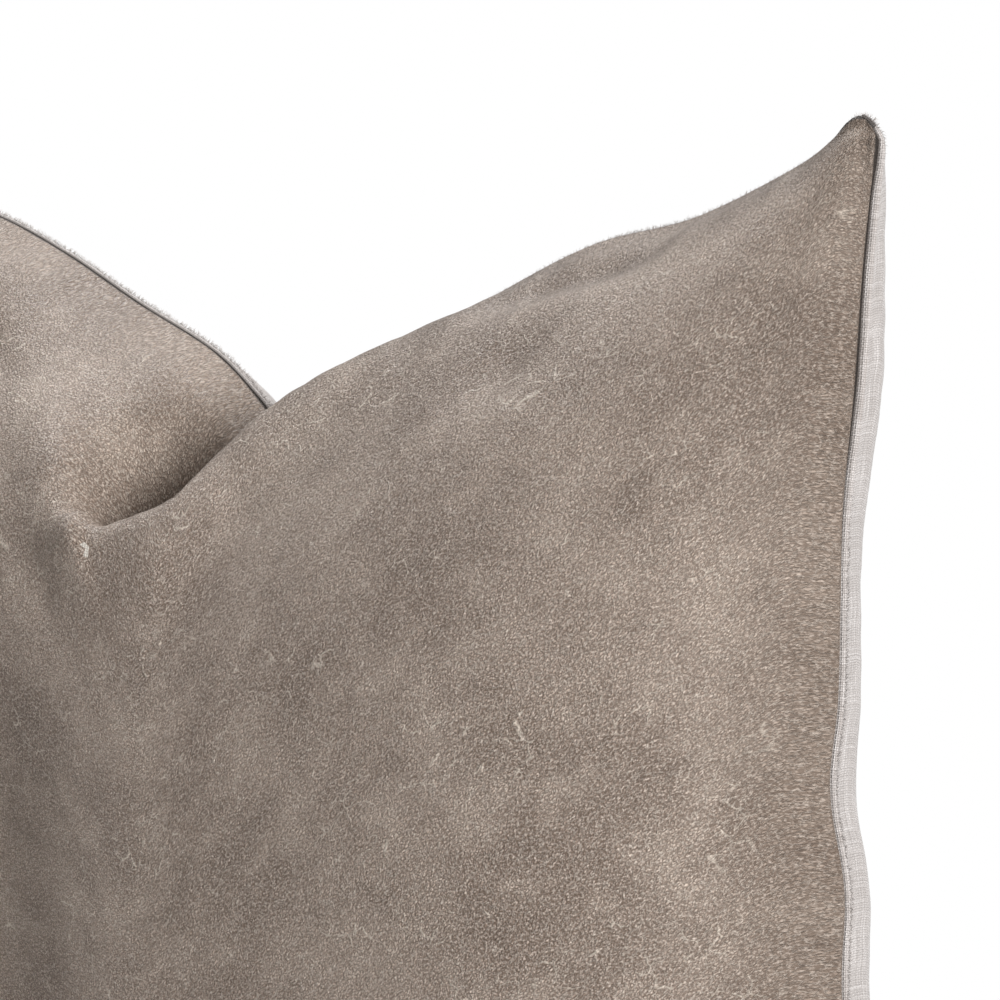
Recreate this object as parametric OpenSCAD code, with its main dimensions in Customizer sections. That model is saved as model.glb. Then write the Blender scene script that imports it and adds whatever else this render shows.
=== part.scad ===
// Square throw pillow standing on its zip edge, with a chopped dent in the top.
// Millimetres. +X along the width, +Z up, leather-look front towards -Y.
// The origin is on the floor, under the middle of the pillow.
// Real pieces, in their own nodes:
//   cover: front_panel, front_backing, back_panel, seam_thread, overlock_thread
//   zip: tapes, coils, stops, stitches, end tacks, zip_slider, pull_tab
//   insert: insert_front, insert_back, insert_seam_thread, fill
//   label: care_label, label_stitch

/* [Pillow] */
// Half the width at the bottom corners
bottom_half = 240; // [200:5:280]
// Half the width where the sides are pulled in most
waist_half = 206; // [170:1:240]
// Half the width at the top corners
top_half = 220; // [180:1:260]
// Height of the top corners
corner_z = 472; // [400:5:520]
// Half the thickness of the filling in the middle
belly = 90; // [50:1:110]
// Half the depth of the flat base
base_half = 34; // [20:1:50]
// How far the chop pushes the middle of the top seam down
chop_depth = 110; // [0:1:150]
// Roundness of the bottom of the chop
chop_round = 5; // [2:0.5:20]

/* [Cover] */
// Thickness of the leather-look sheet
leather_wall = 1.2; // [0.6:0.1:2]
// Thickness of the knit backing behind the sheet
backing_wall = 0.5; // [0.3:0.1:1]
// Thickness of the linen weave
linen_wall = 0.8; // [0.4:0.1:1.5]
// Width of the seam allowance inside
allowance = 12; // [8:1:15]
// Half the gap between the two panels at the seam
seam_gap = 0.15; // [0.1:0.05:0.3]

/* [Zip] */
// Half the length of the zip tapes
tape_half = 203; // [150:1:205]
// Half the width of the slot that the zip sits in
slot_half = 5.2; // [4.8:0.1:6]
// Height of the underside of the tapes
tape_z = 7.6; // [7:0.1:9]
// Thickness of a tape
tape_wall = 0.5; // [0.3:0.1:0.8]
// Width of a tape from the middle outwards
tape_reach = 14; // [10:0.5:15]
// Half the gap between the two coils
coil_gap = 0.55; // [0.5:0.05:0.8]
// Outer edge of a coil
coil_reach = 3.0; // [2.5:0.1:3.2]
// Thickness of a coil
coil_wall = 1.9; // [1.5:0.1:2.2]
// Where the slider stands when the zip is closed
slider_x = 188; // [150:1:190]

/* [Insert] */
// Gap between the cover's seam and the insert's seam
insert_inset = 17; // [14:1:25]
// Gap between the cover's outer face and the insert's outer face
insert_gap = 5; // [4:0.5:10]
// Thickness of the ticking
ticking_wall = 0.6; // [0.3:0.1:1]

/* [Hidden] */

leather = [0.62, 0.57, 0.53];
knit = [0.80, 0.78, 0.74];
linen = [0.84, 0.82, 0.80];
thread = [0.30, 0.27, 0.25];
pale_thread = [0.88, 0.87, 0.84];
zip_cloth = [0.60, 0.57, 0.53];
nylon = [0.55, 0.52, 0.48];
zinc = [0.62, 0.62, 0.62];
cotton = [0.93, 0.92, 0.89];
wadding = [0.96, 0.96, 0.96];
satin = [0.95, 0.95, 0.95];

cover_grid = 28;      // columns and rows of the cover's sheets
insert_grid = 18;     // columns and rows of the insert's sheets
zip_u = 0.90;         // share of the half width where the slot is still fully open
closed_u = 0.96;      // share of the half width where the slot has closed
seam_bulk = 3.4;      // half the depth of the layers that meet just inside the seam
tape_top = tape_z + tape_wall;
insert_tunnel = 17;   // half width of the space the insert leaves over the zip
insert_roof = 13.6;   // height of that space
insert_foot = 3;      // height of the insert's underside beside that space
coil_z = tape_z - coil_wall;
pin_z = 3.3;          // height of the pull tab's pivot

// ---- Shape of the pillow ----

// Grid lines lie closer together near the edges, where the cushion curves most.
function spaced(i, n) = sin(90 * (2 * i / n - 1));

// Half the width at relative height v, which runs from -1 at the floor to 1 at the top.
function side_x(v) = v < 0
    ? waist_half + (bottom_half - waist_half) * pow(-v, 2.2)
    : waist_half + (top_half - waist_half) * pow(v, 2.4);

// Height of the top seam at a share u of the half width.
function top_z(u) =
    let (r = chop_round / top_half)
    corner_z - chop_depth * (1 - pow((u * u + r * r) / (1 + r * r), 0.26));

// The seam rounds off from the chop outwards: blunt in the middle, thin towards the corners.
function bluntness(u) = 0.38 + 0.16 * min(1, abs(u) / 0.55);

function up_profile(u, v) = v < -0.25
    ? sqrt(1 - (1 - pow(base_half / belly, 2)) * pow((v + 0.25) / 0.75, 2))
    : pow(max(0, 1 - pow((v + 0.25) / 1.25, 2)), bluntness(u));

function across_profile(u) = pow(max(0, 1 - pow(abs(u), 2.8)), 0.5);

// Half the thickness at (u, v).
function half_depth(u, v) = belly * across_profile(u) * up_profile(u, v);

// The seam runs along both sides and the top.
function at_seam(u, v) = abs(u) > 0.9999 || v > 0.9999;

// A point of a face drawn in from the outer face: inset in the plane of the seam, skin across it.
function face_point(u, v, inset, skin, at_rim, base) = [
    (side_x(v) - inset) * u,
    -(at_seam(u, v) ? at_rim : half_depth(u, v) + seam_bulk - skin),
    base + (top_z(u) - inset - base) * (v + 1) / 2
];

function face_grid(n, inset, skin, at_rim, base) = [
    for (j = [0 : n]) for (i = [0 : n])
        face_point(spaced(i, n), spaced(j, n), inset, skin, at_rim, base)
];

function across(points) = [for (p = points) [p[0], -p[1], p[2]]];

// Indices of the grid's border, once round: along the bottom, up, back along the top and down.
function border(n) = concat(
    [for (i = [0 : n - 1]) i],
    [for (j = [0 : n - 1]) j * (n + 1) + n],
    [for (i = [0 : n - 1]) n * (n + 1) + n - i],
    [for (j = [0 : n - 1]) (n - j) * (n + 1)]
);

// How far the slot over the zip is open at a share u of the half width.
function slot_share(u) = max(0, min(1, (closed_u - abs(u)) / (closed_u - zip_u)));

function mix(a, b, t) = a + (b - a) * t;

// The insert's underside rises to the height of the tunnel's roof before the bottom corners.
function insert_base(u, lift) =
    mix(insert_foot, insert_roof - 0.3, max(0, min(1, (abs(u) - 0.78) / 0.08))) + lift;

function tunnel_side(u, wall) =
    min(insert_tunnel, 0.76 * (half_depth(u, -1) + seam_bulk - insert_gap)) + wall;

// One loop of points along the border. The bottom stretch can lie apart, as the zip needs.
function loop_points(n, inset, y, base, slot_y, slot_z) = [
    for (k = border(n))
        let (i = k % (n + 1), j = floor(k / (n + 1)), u = spaced(i, n), v = spaced(j, n),
             open = j == 0 ? slot_share(u) : 0)
        [
            (side_x(v) - inset) * u,
            -mix(y, slot_y, open),
            mix(base + (top_z(u) - inset - base) * (v + 1) / 2, slot_z, open)
        ]
];

function grid_faces(n, first, flip) = [
    for (j = [0 : n - 1]) for (i = [0 : n - 1])
        let (a = first + j * (n + 1) + i, b = a + 1, c = a + n + 2, d = a + n + 1)
        each flip ? [[a, b, c], [a, c, d]] : [[a, c, b], [a, d, c]]
];

function strip_faces(from, to) = [
    for (k = [0 : len(from) - 1])
        let (m = (k + 1) % len(from))
        each [[from[k], to[m], to[k]], [from[k], from[m], to[m]]]
];

function run(first, count) = [for (k = [0 : count - 1]) first + k];

function shifted(indices, first) = [for (k = indices) first + k];

// Closed solid between two grids of equal size, joined round the border through the loops.
module sheet(n, outer, inner, loops) {
    count = (n + 1) * (n + 1);
    edge = border(n);
    first = 2 * count;
    rings = concat(
        [edge],
        [for (k = [0 : len(loops) - 1]) run(first + k * len(edge), len(edge))],
        [shifted(edge, count)]
    );
    polyhedron(
        points = concat(outer, inner, [for (l = loops) each l]),
        faces = concat(
            grid_faces(n, 0, false),
            grid_faces(n, count, true),
            [for (k = [0 : len(rings) - 2]) each strip_faces(rings[k], rings[k + 1])]
        ),
        convexity = 8
    );
}

// A cover panel: outer skin, turned-in allowance, and a folded edge beside the zip.
module cover_panel(wall) {
    n = cover_grid;
    rim = seam_gap + 0.15;
    back = seam_gap + wall;
    fold_z = tape_z - 0.1;
    sheet(
        n,
        face_grid(n, 0, 0, rim, 0),
        face_grid(n, wall + 0.4, wall, back, wall),
        [
            loop_points(n, 0, seam_gap, 0, slot_half, 0),
            loop_points(n, allowance / 2, seam_gap, allowance / 2, slot_half, fold_z),
            loop_points(n, allowance, seam_gap, allowance, tape_reach, fold_z),
            loop_points(n, allowance, back, allowance, tape_reach, fold_z - wall),
            loop_points(n, allowance / 2, back, allowance / 2, slot_half + wall, fold_z - wall),
            loop_points(n, wall + 0.9, back, wall + 0.3, slot_half + wall, wall)
        ]
    );
}

// Strip of even width along the sides and the top, and along the bottom beyond foot_x.
module seam_strip(near, far, y_from, y_to, foot_x) {
    n = cover_grid;
    outer = loop_points(n, near, 0, near, 0, near);
    inner = loop_points(n, far, 0, far, 0, far);
    stitched = [for (k = [0 : len(outer) - 1]) if (outer[k][2] > near + 0.01 || abs(outer[k][0]) > foot_x) k];
    first = [for (k = stitched) if (k >= n / 2) k];
    last = [for (k = stitched) if (k < n / 2) k];
    path = concat(first, last);
    translate([0, y_to, 0])
        rotate([90, 0, 0])
            linear_extrude(y_to - y_from)
                polygon(concat(
                    [for (k = path) [outer[k][0], outer[k][2]]],
                    [for (k = [len(path) - 1 : -1 : 0]) [inner[path[k]][0], inner[path[k]][2]]]
                ));
}

module front_panel() {
    color(leather) cover_panel(leather_wall);
}

// Knit cloth bonded to the inside of the front sheet.
module front_backing() {
    n = cover_grid;
    skin = leather_wall + 0.3;
    inner = skin + backing_wall;
    near = seam_gap + leather_wall + 0.2;
    color(knit) sheet(
        n,
        face_grid(n, skin + 0.9, skin, near + 0.1, skin),
        face_grid(n, skin + 1.7, inner, near + 0.1, inner),
        [
            loop_points(n, skin + 0.9, near, skin, slot_half + leather_wall + 0.4, skin),
            loop_points(n, skin + 1.7, near, inner, slot_half + leather_wall + 0.4, inner)
        ]
    );
}

module back_panel() {
    color(linen) mirror([0, 1, 0]) cover_panel(linen_wall);
}

module seam_thread() {
    color(thread) seam_strip(1.0, 1.8, -0.12, 0.12, 228);
}

module overlock_thread() {
    color(pale_thread) seam_strip(allowance + 0.1, allowance + 0.9,
        -seam_gap - leather_wall, seam_gap + linen_wall, 225);
}

// ---- Zip ----

module zip_tape() {
    color(zip_cloth)
        translate([-tape_half, coil_gap + 0.2, tape_z])
            cube([2 * tape_half, tape_reach - coil_gap - 0.2, tape_wall]);
}

module zip_tape_front() {
    mirror([0, 1, 0]) zip_tape();
}

module zip_tape_back() {
    zip_tape();
}

module zip_coil() {
    color(nylon)
        translate([-tape_half + 6, 0, 0])
            rotate([90, 0, 90])
                linear_extrude(2 * tape_half - 12)
                    polygon([
                        [coil_gap, coil_z + 0.4], [coil_gap + 0.4, coil_z],
                        [coil_reach - 0.5, coil_z], [coil_reach, coil_z + 0.5],
                        [coil_reach, tape_z], [coil_gap, tape_z]
                    ]);
}

module zip_coil_front() {
    mirror([0, 1, 0]) zip_coil();
}

module zip_coil_back() {
    zip_coil();
}

module top_stop() {
    color(zinc)
        translate([tape_half - 5.8, coil_gap + 0.1, coil_z])
            cube([2.2, coil_reach - coil_gap - 0.1, coil_wall - 0.05]);
}

module zip_stop_front() {
    mirror([0, 1, 0]) top_stop();
}

module zip_stop_back() {
    top_stop();
}

module zip_bottom_stop() {
    color(zinc)
        translate([-tape_half + 3.6, -coil_reach, coil_z])
            cube([2.2, 2 * coil_reach, coil_wall - 0.05]);
}

module zip_stitch() {
    color(thread)
        translate([-tape_half + 1, 9.8, tape_top])
            cube([2 * tape_half - 2, 0.4, 0.3]);
}

module zip_stitch_front() {
    mirror([0, 1, 0]) zip_stitch();
}

module zip_stitch_back() {
    zip_stitch();
}

module end_tack() {
    color(thread)
        translate([tape_half + 1, -3, coil_z])
            cube([1.8, 6, 2.6]);
}

module end_tack_left() {
    mirror([1, 0, 0]) end_tack();
}

module end_tack_right() {
    end_tack();
}

// Outline of a slider plate, narrower at the end that closes the zip.
module slider_plate(z, thick) {
    translate([0, 0, z])
        linear_extrude(thick)
            polygon([
                [-5, -2.6], [-4.4, -3.4], [1, -4.1], [4, -4.1], [5, -3.2],
                [5, 3.2], [4, 4.1], [1, 4.1], [-4.4, 3.4], [-5, 2.6]
            ]);
}

// Two plates joined by a post between the coils, with side lips and a bridge for the tab.
module zip_slider() {
    color(zinc) translate([slider_x, 0, 0]) union() {
        slider_plate(coil_z - 1.4, 1.1);
        slider_plate(tape_top + 0.3, 1.0);
        translate([1, -0.25, coil_z - 0.5]) cube([3, 0.5, tape_top - coil_z + 1]);
        for (side = [-1, 1])
            translate([1, side * 3.7 - 0.35, coil_z - 0.5]) cube([3, 0.7, coil_wall + 0.2]);
        bridge();
    }
}

module bridge() {
    for (side = [-1, 1])
        translate([side * 2 - 0.4, -0.7, pin_z - 1.4]) cube([0.8, 1.4, 2.6]);
    translate([-2.4, -0.7, pin_z - 1.6]) cube([4.8, 1.4, 0.6]);
}

// The tab's crossbar lies in the bridge; the plate reaches back along the zip.
module pull_tab() {
    color(zinc) translate([slider_x, 0, pin_z]) union() {
        rotate([90, 0, 0]) cylinder(r = 0.6, h = 4.4, center = true, $fn = 48);
        for (side = [-1, 1])
            translate([-4.4, side * 1.65 - 0.55, -0.5]) cube([4.4, 1.1, 1]);
        difference() {
            union() {
                translate([-15.8, -2.2, -0.5]) cube([12.4, 4.4, 1]);
                translate([-15.8, 0, -0.5]) cylinder(r = 2.2, h = 1, $fn = 48);
            }
            translate([-15.4, 0, -1]) cylinder(r = 1.0, h = 2, $fn = 48);
        }
    }
}

// ---- Insert ----

function insert_face(inset, skin, lift) = [
    for (j = [0 : insert_grid]) for (i = [0 : insert_grid])
        let (u = spaced(i, insert_grid), v = spaced(j, insert_grid))
        face_point(u, v, inset, skin, 0.4, insert_base(u, lift))
];

// A loop of the insert's border; its bottom stretch is the side or the roof of the tunnel.
function insert_loop(inset, y, lift, wall, on_roof) = [
    for (k = border(insert_grid))
        let (i = k % (insert_grid + 1), j = floor(k / (insert_grid + 1)),
             u = spaced(i, insert_grid), v = spaced(j, insert_grid), base = insert_base(u, lift))
        j > 0 || abs(u) > 0.9999
            ? [(side_x(v) - inset) * u, -y, base + (top_z(u) - inset - base) * (v + 1) / 2]
            : [(side_x(v) - inset) * u, -(wall < 0 ? y : tunnel_side(u, wall)),
               on_roof ? insert_roof + lift : base]
];

module ticking_half() {
    outer = insert_inset;
    inner = insert_inset + 0.9;
    lift = ticking_wall;
    color(cotton) sheet(
        insert_grid,
        insert_face(outer, insert_gap, 0),
        insert_face(inner, insert_gap + ticking_wall, lift),
        [
            insert_loop(outer, 0.3, 0, 0, false),
            insert_loop(outer, 0.2, 0, 0, true),
            insert_loop(outer, 0.1, 0, -1, true),
            insert_loop(inner, 0.1, lift, -1, true),
            insert_loop(inner, 0.2, lift, ticking_wall, true),
            insert_loop(inner, 0.3, lift, ticking_wall, false)
        ]
    );
}

module insert_front() {
    ticking_half();
}

module insert_back() {
    mirror([0, 1, 0]) ticking_half();
}

// Stitches along the two sides and the top of the insert.
module insert_seam_thread() {
    color(pale_thread) seam_strip(insert_inset - 2.2, insert_inset - 1.4, -0.3, 0.3, top_half * 2);
}

module fill() {
    inset = insert_inset + 1.4;
    lift = ticking_wall + 0.2;
    front = insert_face(inset, insert_gap + ticking_wall + 0.2, lift);
    side = insert_loop(inset, 0.3, lift, lift, false);
    roof = insert_loop(inset, 0.2, lift, lift, true);
    color(wadding) sheet(insert_grid, front, across(front),
        [side, roof, across(roof), across(side)]);
}

// ---- Label ----

module care_label() {
    color(satin) translate([-60, -16.4, 8.7]) cube([40, 10.6, 0.6]);
}

module label_stitch() {
    color(pale_thread) translate([-58, -14, 9.3]) cube([36, 0.4, 0.3]);
}

front_panel();
front_backing();
back_panel();
seam_thread();
overlock_thread();
zip_tape_front();
zip_tape_back();
zip_coil_front();
zip_coil_back();
zip_stop_front();
zip_stop_back();
zip_bottom_stop();
zip_stitch_front();
zip_stitch_back();
end_tack_left();
end_tack_right();
zip_slider();
pull_tab();
insert_front();
insert_back();
insert_seam_thread();
fill();
care_label();
label_stitch();
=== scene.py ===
import math

import bpy
import numpy as np
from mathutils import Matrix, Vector


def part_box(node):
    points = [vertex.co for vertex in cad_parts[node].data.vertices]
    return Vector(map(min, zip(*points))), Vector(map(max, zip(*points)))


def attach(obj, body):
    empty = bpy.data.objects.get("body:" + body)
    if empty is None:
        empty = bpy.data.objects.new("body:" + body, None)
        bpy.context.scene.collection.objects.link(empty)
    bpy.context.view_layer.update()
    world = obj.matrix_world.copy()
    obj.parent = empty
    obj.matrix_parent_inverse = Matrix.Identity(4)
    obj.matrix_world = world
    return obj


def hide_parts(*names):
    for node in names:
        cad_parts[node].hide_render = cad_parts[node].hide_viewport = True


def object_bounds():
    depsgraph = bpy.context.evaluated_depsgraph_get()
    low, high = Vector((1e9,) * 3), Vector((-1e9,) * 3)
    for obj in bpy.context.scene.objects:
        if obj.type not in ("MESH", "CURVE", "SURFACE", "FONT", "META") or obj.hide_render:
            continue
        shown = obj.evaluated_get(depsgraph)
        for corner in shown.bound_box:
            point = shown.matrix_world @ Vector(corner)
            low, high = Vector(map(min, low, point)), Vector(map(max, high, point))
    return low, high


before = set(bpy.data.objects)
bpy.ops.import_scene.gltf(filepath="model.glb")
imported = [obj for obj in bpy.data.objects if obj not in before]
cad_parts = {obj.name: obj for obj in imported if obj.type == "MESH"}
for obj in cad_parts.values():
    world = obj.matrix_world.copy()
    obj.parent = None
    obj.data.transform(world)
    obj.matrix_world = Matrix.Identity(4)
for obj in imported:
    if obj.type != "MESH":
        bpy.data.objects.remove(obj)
cad_low, cad_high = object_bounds()

# ---------------------------------------------------------------- measures, in metres

CUT = 0.508              # a cover panel as cut, inside its seam, is CUT by CUT
CLOTH_CUT = 0.510        # the simulated cloth, which also has to reach round the edge
CELLS = 96               # cloth cells along each side of a panel
FILL_PRESSURE = 1500     # pushes the cloth out, most along its edges
FILL_LEVELS = 50         # steps from no pressure to the full one
FIRM_EDGE = 0.09         # the full pressure reaches this far in from the cloth's edges
FIRM_FADE = 0.08         # and then fades over this distance
FILL_DROP = 0.88         # by this share
BLOW_FRAMES = 16         # frames of the cloth simulation
LEATHER = 0.0012         # thickness of the front panel
LINEN = 0.0008           # and of the back panel
SEAM_GAP = 0.00015       # from the seam plane to each panel's flange
LINEN_LIP = 0.0007       # the linen stands this much further out at the seam than the leather
ALLOWANCE = 0.0115       # depth of the seam allowance
STITCH = 0.0028          # from one stitch to the next
FOOT = cad_high.x        # half the width at the floor
SOLE = 0.03752           # the base patch reaches this far from the seam plane
SOLE_CLOTH = 0.032       # and takes up this much of the cloth
FULLEST = 0.375          # share of the height where a face stands out most
SIDE_POWER = 2.8         # the higher, the fuller a face stays towards its sides
TOP_POWER = 0.45         # the lower, the fuller a face stays towards its top
FOOT_DRAW = 0.84         # how strongly a face draws in again below its fullest height
SLOT = 0.0053            # the zip opening reaches this far from the seam plane
SLOT_OPEN = 0.206        # the opening is full up to here
SLOT_SHUT = 0.2115       # and closed from here
FOLD_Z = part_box("zip_tape_front")[0].z - 0.0001      # the allowance beside the zip lies this high
FLANGE = 0.0088          # beside the zip the allowance lies this wide below the tape
FLANGE_BEND = 0.64       # share of the allowance that stands up before it bends aside
ROLL = 0.0004            # a panel's fold at the seam is this much rounder than the panel is thick
PUCKER = 0.45            # height of the puckers at the seam, in millimetres
PUCKER_REACH = 8         # and how far from the seam they fade
THREAD = 0.00017         # radius of the seam thread
OVERLOCK = 0.00022       # radius of the overlock thread
OVERLOCK_WIDE = 0.0018   # how far its loops reach in and out
FUZZ_PITCH = 0.00017     # from one loose linen fibre to the next
KNIT = 0.0005            # thickness of the front's backing
TICKING = 0.0006         # and of the insert's cover
INSERT_GAP = 0.0045      # from the cover's face to the insert's
FILL_GAP = 0.0054        # from the cover's face to the fill's
INSERT_SHARE = 0.925     # share of the cover's face that the insert's face follows
INSERT_POWER = 14        # the higher, the tighter the insert's edge is rounded
INSERT_LIFT = 0.0135     # the insert's underside is raised by this much, clear of the zip
LIFT_FADE = 0.04         # the height over which that fades
RIB = 0.00005            # height of the ribs of the zip tape
TAPE_HALF = 0.0022       # the thicker edge of a zip tape ends this far from the seam plane

# Rings of a panel's edge: shares of the turn round its fold, then shares of the allowance's depth
# and, beside the zip, of the flange's width.
ROLL_STOPS = (0, 0.22, 0.45, 0.7, 1)
FLANGE_STOPS = ((0.4, 0), (0.62, 0), (0.66, 0.04), (0.72, 0.35), (1, 1))

# The seam line, x and z in millimetres: the left corner, the chop in the middle, the right corner.
TOP_SEAM = [(-219, 475.5), (-213, 478.5), (-200, 473), (-175, 470), (-150, 467), (-127, 461), (-97, 446),
            (-67, 428), (-35, 410), (-16, 393), (-6, 381), (2, 376), (12, 382), (28, 396), (50, 409),
            (85, 425), (118, 437), (155, 443), (191, 456), (205, 464), (213, 471), (218.5, 467.5)]
# Each side from the floor up, x and z in millimetres.
RIGHT_SEAM = [(240, 0), (232, 40), (222, 90), (212, 140), (207, 198), (208, 231), (203, 262),
              (206, 290), (207, 320), (208, 350), (212, 385), (215, 420), (218, 445), (220.5, 462),
              (218.5, 467.5)]
LEFT_SEAM = [(-240, 0), (-231, 40), (-220, 90), (-211, 140), (-207, 198), (-206, 240), (-207, 290),
             (-209, 340), (-212, 385), (-214, 420), (-216, 450), (-220.5, 470), (-219, 475.5)]

# Folds worked into a face after it is blown up. Each row holds a path, then its heights outwards and
# its widths on either side, at even stops. A path is on the flat cloth, in millimetres across from the
# middle and down from the top seam. The second widths are to the right of a path that runs down, and
# below one that runs left.
FRONT_FOLDS = [
    # the gully below the chop
    ([(0, 6), (-12, 26), (-25, 48), (-39, 68)], [-10, -27, -30, -15], [12, 18, 18, 13], [8, 9, 9, 7]),
    # the right lobe, whose edge hangs over the gully
    ([(92, 16), (52, 20), (21, 31), (4, 46), (-13, 63), (-34, 81), (-62, 100)],
     [4, 9, 15, 15.5, 13.5, 8, 0], [12, 10, 9, 8, 8, 8, 14], [28, 28, 28, 26, 26, 26, 26]),
    # the dip beside the right part of the top seam
    ([(104, 12), (126, 13), (156, 13), (184, 12)], [0, -6, -6, 0], [9, 9, 9, 9], [12, 12, 12, 12]),
    # the ridge on the gully's left side
    ([(-96, 40), (-78, 50), (-61, 66), (-46, 80)], [0, 5, 8, 7], [24, 24, 22, 18], [16, 14, 9, 7]),
    # the dip in the left lobe
    ([(-160, 38), (-122, 40), (-96, 50)], [-6, -8, 0], [13, 13, 12], [15, 15, 12]),
    # the broad hollow down the left side
    ([(-100, 90), (-96, 210), (-100, 340), (-104, 450)], [0, -16, -16, 0],
     [80, 80, 80, 80], [50, 54, 56, 60]),
    # the dent in the right lobe
    ([(118, 66), (140, 52), (166, 56)], [0, -3, 0], [14, 14, 14], [14, 14, 14]),
]
# The back has the same folds, and stands fuller along its right seam below the corner.
BACK_FOLDS = FRONT_FOLDS + [([(239, 14), (240, 70), (240, 150)], [4, 5, 0], [14, 14, 14], [14, 14, 14])]


# ---------------------------------------------------------------- curves and grids

def smooth_path(points, count):
    """The given points joined by one smooth curve, resampled at even distances."""
    p = np.array(points, float)
    ends = np.vstack([2 * p[0] - p[1], p, 2 * p[-1] - p[-2]])
    pieces = []
    t = np.linspace(0, 1, 40, endpoint=False)[:, None]
    for k in range(1, len(ends) - 2):
        a, b, c, d = ends[k - 1:k + 3]
        pieces.append(0.5 * (2 * b + (c - a) * t + (2 * a - 5 * b + 4 * c - d) * t ** 2
                             + (3 * b - a - 3 * c + d) * t ** 3))
    dense = np.vstack(pieces + [p[-1:]])
    run = np.r_[0, np.cumsum(np.linalg.norm(np.diff(dense, axis=0), axis=1))]
    at = np.linspace(0, run[-1], count)
    return np.stack([np.interp(at, run, dense[:, k]) for k in range(dense.shape[1])], 1)


def refine(grid):
    """The same surface with twice as many cells along both directions."""
    for axis in (0, 1):
        g = np.moveaxis(grid, axis, 0)
        wide = np.concatenate([2 * g[:1] - g[1:2], g, 2 * g[-1:] - g[-2:-1]])
        out = np.empty((2 * len(g) - 1,) + g.shape[1:])
        out[::2] = g
        out[1::2] = (9 * (wide[1:-2] + wide[2:-1]) - wide[:-3] - wide[3:]) / 16
        grid = np.moveaxis(out, 0, axis)
    return grid


def soften(grid, rounds):
    """Evens out the inside of a grid; its border stays."""
    for _ in range(rounds):
        inner = grid[1:-1, 1:-1]
        beside = grid[:-2, 1:-1] + grid[2:, 1:-1] + grid[1:-1, :-2] + grid[1:-1, 2:]
        grid = grid.copy()
        grid[1:-1, 1:-1] = 0.5 * inner + 0.125 * beside
    return grid


def slot_share(x):
    """1 where the zip opening is full, 0 beyond its ends."""
    return np.clip((SLOT_SHUT - np.abs(x)) / (SLOT_SHUT - SLOT_OPEN), 0, 1)


def border(rows, columns):
    """Grid places (row, column) round a panel: along the bottom, up, back along the top, down."""
    path = [(0, i) for i in range(columns)] + [(j, columns) for j in range(rows)]
    path += [(rows, i) for i in range(columns, 0, -1)] + [(j, 0) for j in range(rows, 0, -1)]
    return np.array(path)


# ---------------------------------------------------------------- the cover's cloth

def flat_outline(n):
    """Seam points of the bottom, top, left and right edge, x and z in metres."""
    bottom = np.stack([np.linspace(-FOOT, FOOT, n + 1), np.zeros(n + 1)], 1)
    top = smooth_path(TOP_SEAM, n + 1) / 1000
    left = smooth_path(LEFT_SEAM, n + 1) / 1000
    right = smooth_path(RIGHT_SEAM, n + 1) / 1000
    return bottom, top, left, right


def start_shape(n, side):
    """A rough pillow face for the cloth to start from. side is -1 in front and 1 behind."""
    bottom, top, left, right = flat_outline(n)
    u = np.linspace(0, 1, n + 1)
    across, up = np.meshgrid(u, u)
    a, b = across[..., None], up[..., None]
    plan = (1 - b) * bottom[None] + b * top[None] + (1 - a) * left[:, None] + a * right[:, None]
    plan -= (1 - a) * (1 - b) * bottom[0] + a * (1 - b) * bottom[-1]
    plan -= (1 - a) * b * top[0] + a * b * top[-1]
    round_x = np.sqrt(np.clip(1 - np.abs(2 * across - 1) ** SIDE_POWER, 0, 1))
    low = np.sqrt(np.clip(1 - FOOT_DRAW * ((FULLEST - up) / FULLEST) ** 2, 0, 1))
    high = np.clip(1 - ((up - FULLEST) / (1 - FULLEST)) ** 2, 0, 1) ** TOP_POWER
    depth = cad_high.y * round_x * np.where(up < FULLEST, low, high)
    shape = np.stack([plan[..., 0], side * depth, plan[..., 1]], 2)
    step = CLOTH_CUT / n
    for j in range(int(round(SOLE_CLOTH / step)) + 1):
        near = SLOT * slot_share(bottom[:, 0])
        far = np.maximum(SOLE * round_x[0], near)
        shape[j, :, 1] = side * (near + (far - near) * j * step / SOLE_CLOTH)
        shape[j, 1:-1, 2] = 0
        shape[j, 1:-1, 0] = bottom[1:-1, 0]
    shape[:, 0] = np.insert(left, 1, 0, axis=1)
    shape[:, -1] = np.insert(right, 1, 0, axis=1)
    shape[-1] = np.insert(top, 1, 0, axis=1)
    return shape


def grid_quads(rows, columns, flip):
    """Faces of a grid with that many cells, as an array of four corners each."""
    j, i = np.meshgrid(np.arange(rows), np.arange(columns), indexing="ij")
    a = j * (columns + 1) + i
    quads = np.stack([a, a + 1, a + columns + 2, a + columns + 1], -1).reshape(-1, 4)
    return quads[:, ::-1] if flip else quads


def rim_quads(ring, total, flip):
    """Faces that join a ring of points to the same ring on another side, total points later."""
    onward = np.roll(ring, -1)
    rim = np.stack([ring + total, onward + total, onward, ring], 1)
    return rim[:, ::-1] if flip else rim


def add_object(name, points, faces):
    mesh = bpy.data.meshes.new(name)
    mesh.from_pydata(np.asarray(points).reshape(-1, 3).tolist(), [], [list(map(int, f)) for f in faces])
    mesh.polygons.foreach_set("use_smooth", [True] * len(mesh.polygons))
    mesh.update()
    piece = bpy.data.objects.new(name, mesh)
    bpy.context.scene.collection.objects.link(piece)
    return piece


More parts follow.
